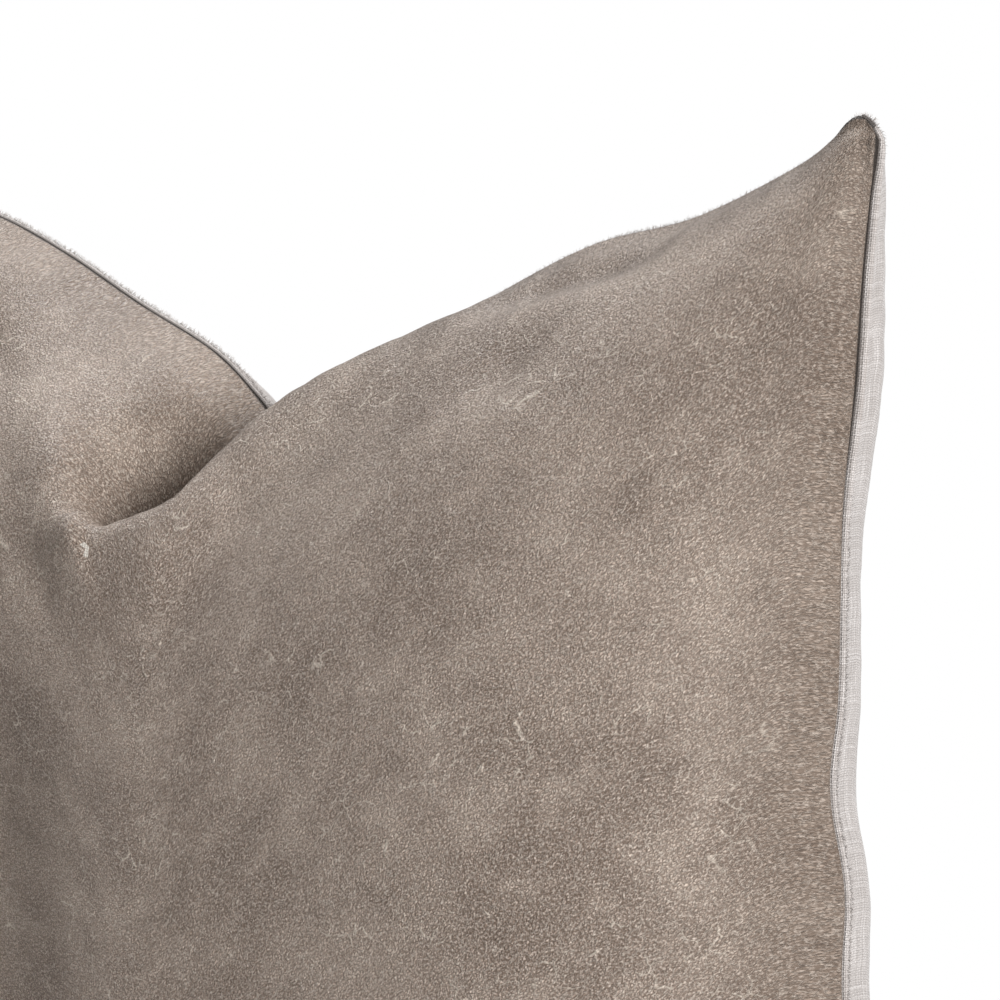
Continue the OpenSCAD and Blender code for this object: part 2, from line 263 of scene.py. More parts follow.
def stiffen(modifier, flat):
    """Sets up the cover's cloth: stiff in its plane, held at the seam and pushed out by the fill."""
    s = modifier.settings
    s.quality = 8
    s.mass = 0.3
    s.tension_stiffness = s.compression_stiffness = 30
    s.shear_stiffness = 9
    s.bending_stiffness = 0.7
    s.tension_damping = s.compression_damping = s.shear_damping = 8
    s.bending_damping = 1
    s.air_damping = 3
    s.vertex_group_mass = "sewn"
    s.rest_shape_key = flat
    s.use_pressure = True
    s.uniform_pressure_force = FILL_PRESSURE
    s.vertex_group_pressure = "stuffed"
    s.effector_weights.gravity = 0
    modifier.collision_settings.use_collision = True
    modifier.collision_settings.use_self_collision = False
    modifier.collision_settings.distance_min = 0.0005


def blow_up(shape, side):
    """Inflates one panel of cloth that is sewn down at its border, and returns its new points."""
    n = len(shape) - 1
    step = CLOTH_CUT / n
    rows, columns = np.meshgrid(np.arange(n + 1), np.arange(n + 1), indexing="ij")
    sole_rows = int(round(SOLE_CLOTH / step))
    held = (rows <= sole_rows) | (rows == n) | (columns == 0) | (columns == n)
    cloth = add_object("cloth", shape, grid_quads(n, n, side > 0))
    cloth.shape_key_add(name="Basis")
    flat = cloth.shape_key_add(name="flat")
    pattern = np.stack([(columns / n - 0.5) * CLOTH_CUT, 0 * rows, rows / n * CLOTH_CUT], -1)
    flat.data.foreach_set("co", pattern.ravel())
    sewn = cloth.vertex_groups.new(name="sewn")
    sewn.add([int(k) for k in np.nonzero(held.ravel())[0]], 1.0, "REPLACE")
    edge = np.minimum(np.minimum(columns, n - columns), np.minimum(n - rows, rows + 4)) * step
    fill = 1 - FILL_DROP * np.clip((edge - FIRM_EDGE) / FIRM_FADE, 0, 1)
    stuffed = cloth.vertex_groups.new(name="stuffed")
    for level in range(FILL_LEVELS + 1):
        chosen = np.nonzero(np.round(fill.ravel() * FILL_LEVELS) == level)[0]
        stuffed.add([int(k) for k in chosen], level / FILL_LEVELS, "REPLACE")
    modifier = cloth.modifiers.new("cloth", "CLOTH")
    stiffen(modifier, flat)
    modifier.point_cache.frame_start = 1
    modifier.point_cache.frame_end = BLOW_FRAMES
    for f in range(1, BLOW_FRAMES + 1):
        bpy.context.scene.frame_set(f)
    done = cloth.evaluated_get(bpy.context.evaluated_depsgraph_get())
    points = np.empty((n + 1) ** 2 * 3)
    done.data.vertices.foreach_get("co", points)
    bpy.data.objects.remove(cloth)
    bpy.context.scene.frame_set(1)
    return points.reshape(n + 1, n + 1, 3)


def grid_normals(grid, side):
    """Outward directions over a face."""
    across = np.gradient(grid, axis=1)
    up = np.gradient(grid, axis=0)
    normal = -side * np.cross(across, up)
    return normal / np.maximum(np.linalg.norm(normal, axis=2, keepdims=True), 1e-12)


def fold_height(across, down, path, heights, left, right):
    """How far one fold stands out, in millimetres, at places on the flat cloth."""
    count = 80
    line = smooth_path(path, count)
    stops = np.linspace(0, 1, len(heights))
    along = np.linspace(0, 1, count)
    gap_x = across[..., None] - line[:, 0]
    gap_y = down[..., None] - line[:, 1]
    gap = np.hypot(gap_x, gap_y)
    k = gap.argmin(-1)[..., None]
    near = np.take_along_axis(gap, k, -1)[..., 0]
    run = np.gradient(line, axis=0)
    turn = gap_x * run[:, 1] - gap_y * run[:, 0]
    on_right = np.take_along_axis(turn, k, -1)[..., 0] > 0
    t = along[k[..., 0]]
    width = np.where(on_right, np.interp(t, stops, right), np.interp(t, stops, left))
    return np.interp(t, stops, heights) * np.exp(-(near / width) ** 2)


def work_folds(grid, side, folds):
    """Moves a face in and out along its folds. The seam stays where it is."""
    n = len(grid) - 1
    v, u = np.meshgrid(np.linspace(0, 1, n + 1), np.linspace(0, 1, n + 1), indexing="ij")
    across = (u - 0.5) * CUT * 1000
    down = (1 - v) * CUT * 1000
    height = sum(fold_height(across, down, *fold) for fold in folds)
    hold = np.clip(down / 10, 0, 1)
    height = height * hold + seam_ripples(across, down)
    return grid + grid_normals(grid, side) * (height / 1000)[..., None]


def seam_ripples(across, down):
    """Small puckers that the stitching draws up along the top and side seams, in millimetres."""
    beside = CUT * 500 - np.abs(across)
    total = 0
    for gap, along in ((down, across), (beside, down + 40)):
        wave = np.sin(along / 3.1 + 1.7 * np.sin(along / 17)) + 0.6 * np.sin(along / 7.3)
        total = total + PUCKER * wave * np.clip(gap / 4, 0, 1) * np.exp(-gap / PUCKER_REACH)
    return total


def cover_face(side):
    """One face of the cover as a fine grid of points."""
    shape = start_shape(CELLS, side)
    shape = blow_up(shape, side)
    grid = refine(soften(shape, 1))
    return work_folds(grid, side, FRONT_FOLDS if side < 0 else BACK_FOLDS)


# ---------------------------------------------------------------- from faces to sewn panels

def vertex_normals(points, faces):
    corners = points[faces]
    normals = np.cross(corners[:, 2] - corners[:, 0], corners[:, 3] - corners[:, 1])
    total = np.zeros_like(points)
    for k in range(4):
        np.add.at(total, faces[:, k], normals)
    return total / np.maximum(np.linalg.norm(total, axis=1, keepdims=True), 1e-12)


def loop_frame(grid, side):
    """Points on the seam plane round a panel, their outward direction in it, and how open the slot is."""
    n = len(grid) - 1
    path = border(n, n)
    seam = grid[path[:, 0], path[:, 1]].copy()
    low = (path[:, 0] == 0) & (path[:, 1] > 0) & (path[:, 1] < n)
    open_share = np.where(low, slot_share(seam[:, 0]), 0)
    seam[:, 1] = side * (SEAM_GAP + (SLOT - SEAM_GAP) * open_share)
    ahead = np.roll(seam, -1, axis=0) - np.roll(seam, 1, axis=0)
    out = np.stack([ahead[:, 2], 0 * ahead[:, 0], -ahead[:, 0]], 1)
    out /= np.linalg.norm(out, axis=1, keepdims=True)
    return path, seam, out, open_share


def rolled_edge(grid, side, radius, lip):
    """Rings of points that carry a face round its seamed edge and in along the seam allowance."""
    n = len(grid) - 1
    path, seam, out, open_share = loop_frame(grid, side)
    back = np.array([0.0, side, 0.0])
    centre = seam - out * (radius - lip) + back * radius
    inner = np.clip(path, 1, n - 1)
    nearest = grid[inner[:, 0], inner[:, 1]] - centre
    far = np.linalg.norm(np.stack([(nearest * out).sum(1), nearest @ back], 1), axis=1)
    bearing = np.arctan2(nearest @ back, (nearest * out).sum(1))
    start = bearing - np.arccos(np.clip(radius / np.maximum(far, radius * 1.01), 0, 1))
    start = np.clip(start, 0.05, 1.4)
    start[open_share > 0] *= 1 - open_share[open_share > 0]
    rings = []
    for t in ROLL_STOPS:
        angle = (start + (-math.pi / 2 - start) * t)[:, None]
        rings.append(centre + radius * (np.cos(angle) * out + np.sin(angle) * back))
    # The allowance is trimmed towards each corner.
    corner = np.minimum(np.minimum(path.sum(1), 2 * n - path.sum(1)),
                        np.minimum(path[:, 0] + n - path[:, 1], n - path[:, 0] + path[:, 1]))
    reach = np.minimum(ALLOWANCE, 0.003 + 0.6 * corner * CUT / n)
    foot = centre - back * radius
    for deep, aside in FLANGE_STOPS:
        seamed = -out * (reach * deep)[:, None]
        rise = min(deep / FLANGE_BEND, 1) * (FOLD_Z - radius)
        beside = back * (FLANGE * aside) + np.array([0, 0, 1]) * rise
        share = open_share[:, None]
        rings.append(foot + seamed * (1 - share) + beside * share)
    return rings


def sewn_panel(name, grid, side, wall, lip):
    """A cover panel as one closed solid: face, rolled edge, seam allowance and its inner side."""
    n = len(grid) - 1
    path = border(n, n)
    rings = rolled_edge(grid, side, wall + ROLL, lip)
    face = grid.copy()
    face[path[:, 0], path[:, 1]] = rings[0]
    points = np.vstack([face.reshape(-1, 3)] + rings[1:])
    faces = [grid_quads(n, n, side > 0)]
    count = len(path)
    ring_ids = [path[:, 0] * (n + 1) + path[:, 1]]
    ring_ids += [(n + 1) ** 2 + k * count + np.arange(count) for k in range(len(rings) - 1)]
    for near, far in zip(ring_ids, ring_ids[1:]):
        quads = np.stack([far, np.roll(far, -1), np.roll(near, -1), near], 1)
        faces.append(quads[:, ::-1] if side > 0 else quads)
    faces = np.vstack(faces)
    inside = points - vertex_normals(points, faces) * wall
    total = len(points)
    rim = rim_quads(ring_ids[-1], total, side > 0)
    solid = np.vstack([points, inside])
    solid[:, 2] = np.maximum(solid[:, 2], 0)
    piece = add_object(name, solid, np.vstack([faces, faces[:, ::-1] + total, rim]))
    v, u = np.meshgrid(np.linspace(0, CUT, n + 1), np.linspace(-CUT / 2, CUT / 2, n + 1), indexing="ij")
    cut = [np.stack([u, v, 0 * u], -1).reshape(-1, 3)]
    edge = cut[0][ring_ids[0]]
    away = np.sign(np.stack([(path[:, 1] == n) * 1.0 - (path[:, 1] == 0),
                             (path[:, 0] == n) * 1.0 - (path[:, 0] == 0), 0 * path[:, 0]], 1))
    run = np.zeros(count)
    for near, far in zip(rings, rings[1:]):
        run = run + np.linalg.norm(far - near, axis=1)
        cut.append(edge + away * run[:, None])
    store_cut(piece, np.vstack(cut + cut))
    return piece


def store_cut(piece, where):
    """Keeps each point's place on the flat cloth, which its weave and grain follow."""
    layer = piece.data.attributes.new("cut", "FLOAT_VECTOR", "POINT")
    layer.data.foreach_set("vector", where.ravel())


# ---------------------------------------------------------------- materials

class Shader:
    """A few short calls that build a node material."""

    def __init__(self, name):
        self.material = bpy.data.materials.new(name)
        self.material.use_nodes = True
        self.tree = self.material.node_tree
        self.surface = self.tree.nodes["Principled BSDF"]

    def node(self, kind, inputs=(), **settings):
        made = self.tree.nodes.new("ShaderNode" + kind)
        for key, value in settings.items():
            setattr(made, key, value)
        for key, value in dict(inputs).items():
            self.put(made, key, value)
        return made

    def put(self, node, key, value):
        if isinstance(value, bpy.types.NodeSocket):
            self.tree.links.new(value, node.inputs[key])
        else:
            node.inputs[key].default_value = value

    def math(self, operation, *values):
        return self.node("Math", enumerate(values), operation=operation).outputs[0]

    def noise(self, at, scale, detail=3, rough=0.55):
        return self.node("TexNoise", {"Vector": at, "Scale": scale, "Detail": detail,
                                      "Roughness": rough}).outputs["Fac"]

    def ridges(self, at, scale, middle, width):
        """Thin winding lines, where a noise crosses its middle value."""
        gap = self.math("ABSOLUTE", self.math("SUBTRACT", self.noise(at, scale, 2, 0.5), middle))
        return self.band(gap, 0.0, width, 1, 0)

    def stretch(self, at, scale):
        return self.node("Mapping", {"Vector": at, "Scale": scale}).outputs[0]

    def band(self, value, low, high, to_low=0.0, to_high=1.0):
        return self.node("MapRange", {"Value": value, "From Min": low, "From Max": high,
                                      "To Min": to_low, "To Max": to_high},
                         interpolation_type="SMOOTHSTEP").outputs[0]

    def mix(self, share, a, b, kind="MIX"):
        made = self.node("Mix", {"Factor": share}, data_type="RGBA", blend_type=kind)
        self.put(made, 6, a)
        self.put(made, 7, b)
        return made.outputs[2]

    def bump(self, height, distance, strength=1.0, below=None):
        inputs = {"Height": height, "Distance": distance, "Strength": strength}
        if below is not None:
            inputs["Normal"] = below
        return self.node("Bump", inputs).outputs[0]

    def finish(self, **sockets):
        for key, value in sockets.items():
            self.put(self.surface, key.replace("_", " "), value)
        return self.material


def shade(r, g, b):
    """A colour given as it looks on a screen, 0 to 255."""
    return tuple(((c / 255 + 0.055) / 1.055) ** 2.4 for c in (r, g, b)) + (1.0,)


def past_edge(s, at, side_gap=0.0):
    """How far a place on the flat cloth is past the panel's top or side edge."""
    split = s.node("SeparateXYZ", {0: at})
    beside = s.math("SUBTRACT", s.math("ABSOLUTE", split.outputs[0]), CUT / 2 + side_gap)
    above = s.math("SUBTRACT", split.outputs[1], CUT)
    return s.math("MAXIMUM", beside, above)


def seam_shadow(s, at, start):
    """1 on a panel's face and 0 where it has turned in at its seam, that far past the fold."""
    return s.band(past_edge(s, at, 0.0014), start, start + 0.001, 1, 0)


def leather_material():
    s = Shader("distressed_leather")
    at = s.node("Attribute", attribute_name="cut").outputs["Vector"]
    clouds = s.noise(at, 13, 6, 0.62)
    patches = s.noise(at, 42, 5, 0.66)
    slanted = s.node("Mapping", {"Vector": at, "Rotation": (0, 0, 0.75), "Scale": (1, 0.6, 1)},
                     vector_type="TEXTURE").outputs[0]
    veins = s.ridges(slanted, 300, 0.5, 0.028)
    cells = s.node("TexVoronoi", {"Vector": slanted, "Scale": 820.0}, feature="DISTANCE_TO_EDGE")
    pebble = s.band(cells.outputs["Distance"], 0.02, 0.3)
    pores = s.noise(at, 1100, 2, 0.7)
    lines = crack_lines(s, at)
    colour = s.mix(s.band(clouds, 0.36, 0.64), shade(122, 106, 94), shade(162, 146, 133))
    colour = s.mix(s.band(patches, 0.5, 0.66, 0, 0.6), colour, shade(184, 168, 154))
    colour = s.mix(s.band(patches, 0.32, 0.48, 0.6, 0), colour, shade(100, 85, 74))
    colour = s.mix(s.band(pebble, 0.0, 1.0, 0.7, 0.0), colour, shade(84, 70, 60))
    colour = s.mix(s.band(pores, 0.45, 0.7, 0.0, 0.6), colour, shade(206, 192, 180))
    colour = s.mix(s.math("MULTIPLY", veins, 0.45), colour, shade(212, 200, 188))
    colour = s.mix(s.math("MULTIPLY", lines, 0.5), colour, shade(216, 204, 190))
    # Painted shade: the leather is darkened over the last 30 mm towards its top and side seams, where the
    # face turns in.
    colour = s.mix(s.band(past_edge(s, at), -0.03, 0.001, 0, 0.42), colour, shade(92, 79, 69))
    colour = s.mix(seam_shadow(s, at, -0.0003), shade(48, 42, 38), colour)
    height = s.math("MULTIPLY_ADD", pebble, 0.8, s.math("MULTIPLY", pores, 0.8))
    height = s.math("ADD", height, s.math("MULTIPLY_ADD", veins, 0.7, s.math("MULTIPLY", lines, 0.6)))
    soft = s.bump(s.noise(at, 130, 3, 0.6), 0.0006, 0.4)
    rough = s.band(clouds, 0.3, 0.7, 0.46, 0.6)
    return s.finish(Base_Color=colour, Roughness=rough, Specular_IOR_Level=0.32,
                    Normal=s.bump(height, 0.00045, 1.0, soft))


def crack_lines(s, at):
    """Fine pale creases: short, slightly wavy lines that come in sparse groups."""
    wander = s.node("TexNoise", {"Vector": at, "Scale": 90.0, "Detail": 3.0}).outputs["Color"]
    moved = s.node("VectorMath", {0: wander, 1: (0.01, 0.01, 0.0)}, operation="MULTIPLY").outputs[0]
    bent = s.node("VectorMath", {0: at, 1: moved}, operation="ADD").outputs[0]
    groups = s.band(s.noise(at, 24, 3, 0.7), 0.51, 0.58)
    broken = s.band(s.noise(at, 120, 2, 0.6), 0.49, 0.54)
    edges = s.node("TexVoronoi", {"Vector": bent, "Scale": 120.0}, feature="DISTANCE_TO_EDGE")
    line = s.band(edges.outputs["Distance"], 0.0, 0.04, 1, 0)
    return s.math("MULTIPLY", line, s.math("MULTIPLY", groups, broken))


def linen_material():
    s = Shader("slub_linen")
    at = s.node("Attribute", attribute_name="cut").outputs["Vector"]
    split = s.node("SeparateXYZ", {0: at})
    drift = s.math("MULTIPLY", s.noise(at, 90, 2), 0.0006)
    u = s.math("ADD", split.outputs[0], drift)
    v = s.math("ADD", split.outputs[1], drift)
    turn = math.pi / 0.00082
    warp = s.math("SINE", s.math("MULTIPLY", u, turn))
    weft = s.math("SINE", s.math("MULTIPLY", v, turn))
    over = s.band(s.math("MULTIPLY", warp, weft), -0.25, 0.25)
    warp_slub = s.noise(s.stretch(at, (1250, 45, 1)), 1, 2)
    weft_slub = s.noise(s.stretch(at, (45, 1250, 1)), 1, 2)
    warp_high = s.math("MULTIPLY", s.math("ABSOLUTE", warp), s.band(warp_slub, 0.3, 0.7, 0.6, 1.3))
    weft_high = s.math("MULTIPLY", s.math("ABSOLUTE", weft), s.band(weft_slub, 0.3, 0.7, 0.6, 1.3))
    height = s.node("Mix", {0: over, 2: weft_high, 3: warp_high}).outputs[0]
    slubs = s.math("MAXIMUM", warp_slub, weft_slub)
    colour = s.mix(s.band(slubs, 0.45, 0.75), shade(166, 159, 155), shade(198, 192, 189))
    colour = s.mix(s.band(height, 0.05, 0.55, 0.8, 0), colour, shade(112, 104, 99))
    colour = s.mix(seam_shadow(s, at, 0.0013), shade(66, 58, 53), colour)
    fibre = s.noise(at, 4200, 2, 0.7)
    height = s.math("ADD", height, s.math("MULTIPLY", fibre, 0.35))
    return s.finish(Base_Color=colour, Roughness=0.88, Specular_IOR_Level=0.2, Sheen_Weight=0.25,
                    Sheen_Roughness=0.5, Normal=s.bump(height, 0.0003, 0.9))


def woven_material(name, pitch, light, dark, roughness=0.85, slant=0.0, depth=0.0001):
    """A plain or twilled cloth that follows the object's own coordinates."""
    s = Shader(name)
    at = s.node("TexCoord").outputs["Object"]
    split = s.node("SeparateXYZ", {0: at})
    turn = math.pi / pitch
    side = s.math("MULTIPLY_ADD", split.outputs[1], slant, split.outputs[0])
    up = s.math("ADD", split.outputs[2], s.math("MULTIPLY", split.outputs[1], 0.7))
    warp = s.math("SINE", s.math("MULTIPLY", side, turn))
    weft = s.math("SINE", s.math("MULTIPLY", up, turn))
    over = s.band(s.math("MULTIPLY", warp, weft), -0.3, 0.3)
    height = s.node("Mix", {0: over, 2: s.math("ABSOLUTE", weft), 3: s.math("ABSOLUTE", warp)}).outputs[0]
    height = s.math("ADD", height, s.math("MULTIPLY", s.noise(at, 3000, 2, 0.7), 0.3))
    colour = s.mix(s.band(height, 0.2, 0.9), dark, light)
    colour = s.mix(s.band(s.noise(at, 60, 3), 0.4, 0.7, 0, 0.25), colour, dark)
    return s.finish(Base_Color=colour, Roughness=roughness, Specular_IOR_Level=0.25,
                    Normal=s.bump(height, depth, 0.8))


def thread_material(name, light, dark):
    s = Shader(name)
    at = s.node("TexCoord").outputs["Object"]
    twist = s.noise(s.stretch(at, (1, 1, 1.6)), 3800, 3, 0.6)
    colour = s.mix(s.band(twist, 0.35, 0.65), dark, light)
    return s.finish(Base_Color=colour, Roughness=0.55, Specular_IOR_Level=0.35, Sheen_Weight=0.2,
                    Normal=s.bump(twist, 0.00006, 0.7))


def metal_material():
    s = Shader("aged_nickel")
    at = s.node("TexCoord").outputs["Object"]
    brushed = s.noise(s.stretch(at, (0.08, 1, 1)), 5200, 3, 0.6)
    wear = s.noise(at, 420, 4, 0.65)
    colour = s.mix(s.band(wear, 0.42, 0.66), shade(132, 128, 122), shade(196, 193, 188))
    return s.finish(Base_Color=colour, Metallic=1.0, Roughness=s.band(wear, 0.3, 0.7, 0.26, 0.46),
                    Normal=s.bump(brushed, 0.00002, 0.5))


def nylon_material():
    s = Shader("moulded_nylon")
    at = s.node("TexCoord").outputs["Object"]
    haze = s.noise(at, 900, 3, 0.6)
    colour = s.mix(s.band(haze, 0.35, 0.7), shade(118, 106, 96), shade(138, 126, 116))
    return s.finish(Base_Color=colour, Roughness=s.band(haze, 0.3, 0.7, 0.32, 0.5),
                    Normal=s.bump(haze, 0.00002, 0.4))


def fibre_material():
    s = Shader("polyester_fibre")
    at = s.node("TexCoord").outputs["Object"]
    strands = s.noise(s.stretch(at, (1, 3, 1)), 500, 6, 0.75)
    colour = s.mix(s.band(strands, 0.35, 0.65), shade(206, 204, 200), shade(238, 237, 235))
    return s.finish(Base_Color=colour, Roughness=0.95, Sheen_Weight=0.3,
                    Normal=s.bump(strands, 0.0012, 0.8))


# ---------------------------------------------------------------- small repeated shapes

def capsules(name, starts, ends, radius, sides=6):
    """One short round-ended rod from each start to its end, all in one mesh."""
    starts, ends = np.asarray(starts, float), np.asarray(ends, float)
    run = ends - starts
    run /= np.linalg.norm(run, axis=1, keepdims=True)
    helper = np.where(np.abs(run[:, 2:3]) < 0.8, np.array([[0, 0, 1.0]]), np.array([[1.0, 0, 0]]))
    a = np.cross(run, helper)
    a /= np.linalg.norm(a, axis=1, keepdims=True)
    b = np.cross(run, a)
    rings = []
    for base, push, size in ((starts, -0.7, 0.65), (starts, 0, 1), (ends, 0, 1), (ends, 0.7, 0.65)):
        for k in range(sides):
            angle = 2 * math.pi * k / sides
            sideways = (a * math.cos(angle) + b * math.sin(angle)) * size
            rings.append(base + (run * push + sideways) * radius)
    tips = [starts - run * radius, ends + run * radius]
    block = np.stack(rings + tips, 1)
    faces = []
    for r in range(3):
        for k in range(sides):
            m = (k + 1) % sides
            faces.append((r * sides + k, r * sides + m, (r + 1) * sides + m, (r + 1) * sides + k))
    first, last = 4 * sides, 4 * sides + 1
    for k in range(sides):
        m = (k + 1) % sides
        faces.append((m, k, first))
        faces.append((3 * sides + k, 3 * sides + m, last))
    count = block.shape[1]
    every = [tuple(i + q * count for i in f) for q in range(len(block)) for f in faces]
    return add_object(name, block.reshape(-1, 3), every)


def tube(name, line, radius, sides=6):
    """A round cord along a line of points, closed at both ends."""
    line = np.asarray(line, float)
    run = np.gradient(line, axis=0)
    run /= np.linalg.norm(run, axis=1, keepdims=True)
    a = np.cross(run, (0.31, 0.27, 0.91))
    a /= np.linalg.norm(a, axis=1, keepdims=True)
    b = np.cross(run, a)
    turn = np.linspace(0, 2 * math.pi, sides, endpoint=False)[None, :, None]
    rings = line[:, None] + radius * (a[:, None] * np.cos(turn) + b[:, None] * np.sin(turn))
    faces = []
    for r in range(len(line) - 1):
        for k in range(sides):
            m = (k + 1) % sides
            faces.append((r * sides + k, r * sides + m, (r + 1) * sides + m, (r + 1) * sides + k))
    faces.append(tuple(range(sides))[::-1])
    faces.append(tuple((len(line) - 1) * sides + k for k in range(sides)))
    return add_object(name, rings.reshape(-1, 3), faces)


def seam_run(grid, pitch):
    """Even places along the sewn seam, with the outward and the onward direction at each."""
    _, seam, out, open_share = loop_frame(grid, -1)
    sewn = open_share <= 0
    first = int(np.nonzero(sewn & (seam[:, 0] > 0))[0][0])
    order = np.roll(np.arange(len(seam)), -first)
    order = order[sewn[order]]
    line = seam[order] * (1, 0, 1)
    run = np.r_[0, np.cumsum(np.linalg.norm(np.diff(line, axis=0), axis=1))]
    at = np.arange(pitch / 2, run[-1], pitch)
    place = np.stack([np.interp(at, run, line[:, k]) for k in range(3)], 1)
    outward = np.stack([np.interp(at, run, out[order][:, k]) for k in range(3)], 1)
    outward /= np.linalg.norm(outward, axis=1, keepdims=True)
    return place, outward, np.gradient(place, axis=0) / pitch


def seam_stitches(grid):
    """Lockstitches: bars that cross the seam's groove, joined by runs inside both flanges."""
    place, outward, _ = seam_run(grid, STITCH)
    y = np.array([0, 1.0, 0])
    groove = place - outward * 0.0011
    hole = place - outward * 0.0032
    in_front = hole - y * (SEAM_GAP + LEATHER + 0.0001)
    behind = hole + y * (SEAM_GAP + LINEN + 0.0001)
    starts = np.vstack([groove - y * 0.0004, in_front[:-1], behind[:-1], in_front])
    ends = np.vstack([groove + y * 0.00035, in_front[1:], behind[1:], behind])
    return capsules("seam_stitches", starts, ends, THREAD)


def overlock_loops(grid):
    """A thread that winds round the raw edges of both allowances."""
    step, steps_in_loop = 0.0008, 5
    place, outward, _ = seam_run(grid, step)
    turn = np.arange(len(place)) * 2 * math.pi / steps_in_loop
    around = outward * (np.cos(turn) * OVERLOCK_WIDE)[:, None]
    around = around + np.array([0, 1.0, 0]) * (np.sin(turn) * (LEATHER + 0.0006))[:, None]
    steady = np.clip(place - outward * 0.0112, [-1, -1, 0.0122], [1, 1, 1])
    return tube("overlock_loops", steady + around, OVERLOCK, 5)


def linen_fuzz(grid):
    """Loose fibre ends of the linen along its seamed edge."""
    rng = np.random.default_rng(7)
    place, outward, onward = seam_run(grid, FUZZ_PITCH)
    count = len(place)
    y = np.array([0, 1.0, 0])
    beside = rng.uniform(0.0007, 0.0022, count)[:, None]
    lean = rng.normal(0, 0.55, (count, 2))
    along = outward + onward * lean[:, :1] + y * (0.25 + 0.35 * lean[:, 1:])
    along /= np.linalg.norm(along, axis=1, keepdims=True)
    long = rng.uniform(0.0006, 0.0021, count)[:, None]
    root = place + outward * (LINEN_LIP - 0.0003) + y * beside
    bend = root + along * long * 0.6
    tip = bend + (along + onward * rng.normal(0, 0.6, (count, 1))) * long * 0.4
    a = np.cross(along, onward)
    a /= np.maximum(np.linalg.norm(a, axis=1, keepdims=True), 1e-9)
    b = np.cross(along, a)
    rings = []
    for base, size in ((root, 0.0001), (bend, 0.00008)):
        for k in range(3):
            angle = 2 * math.pi * k / 3
            rings.append(base + (a * math.cos(angle) + b * math.sin(angle)) * size)
    block = np.stack(rings + [tip], 1)
    block = block[block[..., 2].min(1) > 0.0003]
    count = len(block)
    one = [(0, 2, 1), (0, 1, 4, 3), (1, 2, 5, 4), (2, 0, 3, 5), (3, 4, 6), (4, 5, 6), (5, 3, 6)]
    every = [tuple(i + q * 7 for i in f) for q in range(count) for f in one]
    return add_object("linen_fuzz", block.reshape(-1, 3), every)


# ---------------------------------------------------------------- what is inside

def closed_pair(name, outer, inner, flip):
    """Two grids of points joined round their borders into one closed sheet or body."""
    rows, columns = len(outer) - 1, len(outer[0]) - 1
    quads = grid_quads(rows, columns, flip)
    total = (rows + 1) * (columns + 1)
    path = border(rows, columns)
    rim = rim_quads(path[:, 0] * (columns + 1) + path[:, 1], total, flip)
    points = np.vstack([outer.reshape(-1, 3), inner.reshape(-1, 3)])
    return add_object(name, points, np.vstack([quads, quads[:, ::-1] + total, rim]))


def closed_sheet(name, grid, side, wall):
    """A grid of points given a thickness on its inner side, and closed round its border."""
    return closed_pair(name, grid, grid - grid_normals(grid, side) * wall, side > 0)


def resample(grid, n, shrink):
    """The middle part of a grid, as a coarser grid with n cells."""
    m = len(grid) - 1
    at = m * (0.5 + (np.linspace(0, 1, n + 1) - 0.5) * shrink)
    whole = np.arange(m + 1)
    rows = np.stack([[np.interp(at, whole, grid[:, i, k]) for i in range(m + 1)] for k in range(3)], -1)
    rows = np.moveaxis(rows, 1, 0)
    return np.stack([[np.interp(at, whole, rows[j, :, k]) for j in range(n + 1)] for k in range(3)], -1)


def insert_grid(grid, side, inside, n=72):
    """A face of the insert: the cover's face, drawn in from the seam and closed at the middle plane."""
    face = resample(grid - grid_normals(grid, side) * inside, n, INSERT_SHARE)
    v, u = np.meshgrid(np.linspace(-1, 1, n + 1), np.linspace(-1, 1, n + 1), indexing="ij")
    edge = np.sqrt(np.clip((1 - np.abs(u) ** INSERT_POWER) * (1 - np.abs(v) ** INSERT_POWER), 0, 1))
    low = np.clip(-v, 0, 1) ** 30
    face[..., 1] = side * (0.0002 + np.abs(face[..., 1]) * edge)
    face[..., 2] = face[..., 2] + INSERT_LIFT * np.exp(-face[..., 2] / LIFT_FADE) + 0.002 * low
    return soften(face, 2)


def insert_stitches(grid):
    path = border(len(grid) - 1, len(grid) - 1)
    ring = grid[path[:, 0], path[:, 1]] * (1, 0, 1)
    line = smooth_path(np.vstack([ring, ring[:1]])[::3], 620)
    return capsules("insert_stitches", line[:-1:2] + (0, -0.0004, 0), line[1::2] + (0, 0.0004, 0), 0.0002)


# ---------------------------------------------------------------- the zip and the label

def tape(name, node):
    """A woven zip tape: fine cross ribs, and a thicker edge beside the coil."""
    low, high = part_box(node)
    columns, rows = 812, 12
    ys, xs = np.meshgrid(np.linspace(low.y, high.y, rows + 1), np.linspace(low.x, high.x, columns + 1),
                         indexing="ij")
    ribs = RIB * np.sin(xs * 2 * math.pi / 0.001) * np.cos(ys * 2 * math.pi / 0.0044)
    beside_coil = np.abs(ys) < TAPE_HALF
    half = (high.z - low.z) / 2 - 0.00007
    middle = (high.z + low.z) / 2
    face = np.stack([xs, ys, middle + half + ribs + beside_coil * 0.00006], -1)
    back = np.stack([xs, ys, middle - half - ribs], -1)
    return closed_pair(name, face, back, False)


def coil(name, node):
    """A moulded coil: one flat spiral of nylon whose loops are the teeth."""
    low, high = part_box(node)
    wire = 0.0003
    pitch = 0.0015
    turns = (high.x - low.x - 2 * wire) / pitch
    t = np.linspace(0, turns * 2 * math.pi, int(turns * 10))
    middle = (low + high) / 2
    wide = (high.y - low.y) / 2 - wire
    tall = (high.z - low.z) / 2 - wire
    line = np.stack([low.x + wire + t / (2 * math.pi) * pitch, middle.y + wide * np.cos(t),
                     middle.z + tall * np.sin(t)], 1)
    return tube(name, line, wire, 5)


